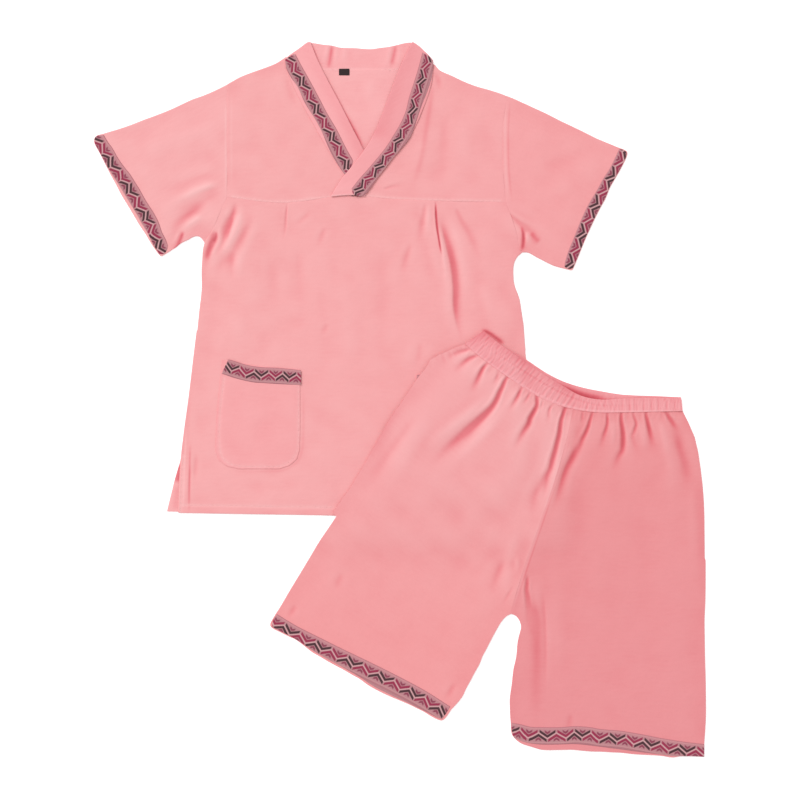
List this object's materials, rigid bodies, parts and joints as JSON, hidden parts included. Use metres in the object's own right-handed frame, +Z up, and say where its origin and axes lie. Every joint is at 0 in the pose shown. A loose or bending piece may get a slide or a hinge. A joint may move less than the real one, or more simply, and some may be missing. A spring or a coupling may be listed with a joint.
{
  "type": "short-sleeved V-neck top and shorts set, laid flat",
  "caption": "Cotton lounge set laid flat: V-neck short-sleeved top with yoke and patch pockets, and elastic-waist shorts over its corner, all trimmed with zigzag woven ribbon",
  "frame": {"origin": "middle of the outline, on the surface that the set lies on", "axes": "+Z up out of the cloth, +Y from the hems towards the collar, +X to the right as seen from above"},
  "size_m": [0.9147, 1.0715, 0.0114],
  "materials": {
    "cotton_top": "matte plain-weave cotton, pale salmon pink",
    "cotton_shorts": "matte plain-weave cotton, salmon pink",
    "woven_ribbon": "woven ribbon with a zigzag pattern, slight sheen",
    "tab_tape": "plain black tape"
  },
  "bodies": {
    "root": {"top_back": "cotton_top", "top_front": "cotton_top", "yoke_left": "cotton_top", "yoke_right": "cotton_top", "sleeve_left_front": "cotton_top", "sleeve_left_back": "cotton_top", "sleeve_right_front": "cotton_top", "sleeve_right_back": "cotton_top", "band_left": "cotton_top", "band_back": "cotton_top", "band_right": "cotton_top", "pocket_left": "cotton_top", "pocket_right": "cotton_top", "trim_neck_left": "woven_ribbon", "trim_neck_right": "woven_ribbon", "trim_cuff_left": "woven_ribbon", "trim_cuff_right": "woven_ribbon", "trim_pocket_left": "woven_ribbon", "trim_pocket_right": "woven_ribbon", "trim_leg_left": "woven_ribbon", "trim_leg_right": "woven_ribbon", "neck_tab": "tab_tape", "leg_front_left": "cotton_shorts", "leg_front_right": "cotton_shorts", "leg_back_left": "cotton_shorts", "leg_back_right": "cotton_shorts", "waistband_front": "cotton_shorts", "waistband_back": "cotton_shorts"}
  },
  "joints": []
}
